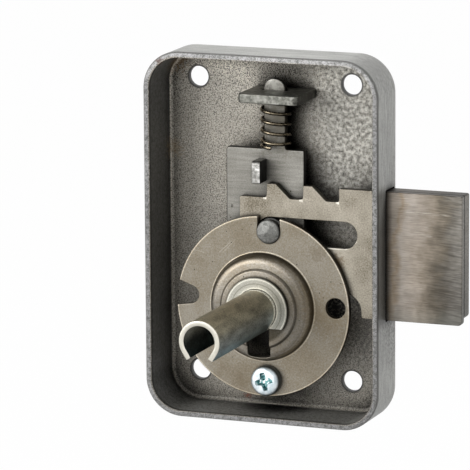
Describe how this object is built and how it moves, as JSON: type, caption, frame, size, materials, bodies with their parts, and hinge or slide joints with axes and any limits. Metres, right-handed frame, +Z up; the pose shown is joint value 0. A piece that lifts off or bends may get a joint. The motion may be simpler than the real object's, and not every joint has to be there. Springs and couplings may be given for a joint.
{
  "type": "cabinet lock",
  "caption": "Screw-on cabinet lock with its open side forward: toothed bolt, sprung tumbler, dished guide disc and split key tube in a sheet-steel box.",
  "frame": {"origin": "on the axis of the key tube, in the plane of the open rim that lies against the door", "axes": "+Z up along the long side, +X the way the bolt is thrown, +Y from the door into the lock; the key tube points towards -Y"},
  "size_m": [0.0791, 0.0526, 0.09],
  "materials": {
    "case_enamel": "hammered grey enamel over sheet steel, satin, with wear on the rim",
    "post_steel": "turned steel, dull, its ends hammered",
    "disc_steel": "pressed bare steel sheet, warm grey, fine specks",
    "tube_steel": "rolled bare steel strip, darker, with a bright cut end",
    "collar_steel": "pale bare steel with bright edges",
    "screw_zinc": "blue-white zinc plate",
    "bolt_steel": "stamped bare steel, brushed lengthways on the head, faint brown tints",
    "tumbler_steel": "stamped sheet steel, cool grey",
    "peg_steel": "sheared steel, bright on its end",
    "spring_steel": "spring wire, bronze-grey"
  },
  "bodies": {
    "lock_body": {"case": "case_enamel", "guide_post": "post_steel", "screw_post": "post_steel", "spring_bracket": "post_steel", "guide_disc": "disc_steel", "key_tube": "tube_steel", "tube_collar": "collar_steel", "disc_screw": "screw_zinc", "tumbler_spring": "spring_steel"},
    "bolt": {"bolt_plate": "bolt_steel", "bolt_block": "bolt_steel", "bolt_rivets": "bolt_steel"},
    "tumbler_group": {"tumbler": "tumbler_steel", "tumbler_peg": "peg_steel"}
  },
  "joints": [
    {"name": "bolt_slide", "type": "slide", "parent": "lock_body", "child": "bolt", "axis": [1, 0, 0], "range_m": [-0.0187, 0]},
    {"name": "tumbler_lift", "type": "slide", "parent": "lock_body", "child": "tumbler_group", "axis": [0, 0, 1], "range_m": [-0.0028, 0.0012], "stiffness_N_per_m": 300, "springref_m": -0.01, "deforming": ["tumbler_spring"]}
  ]
}
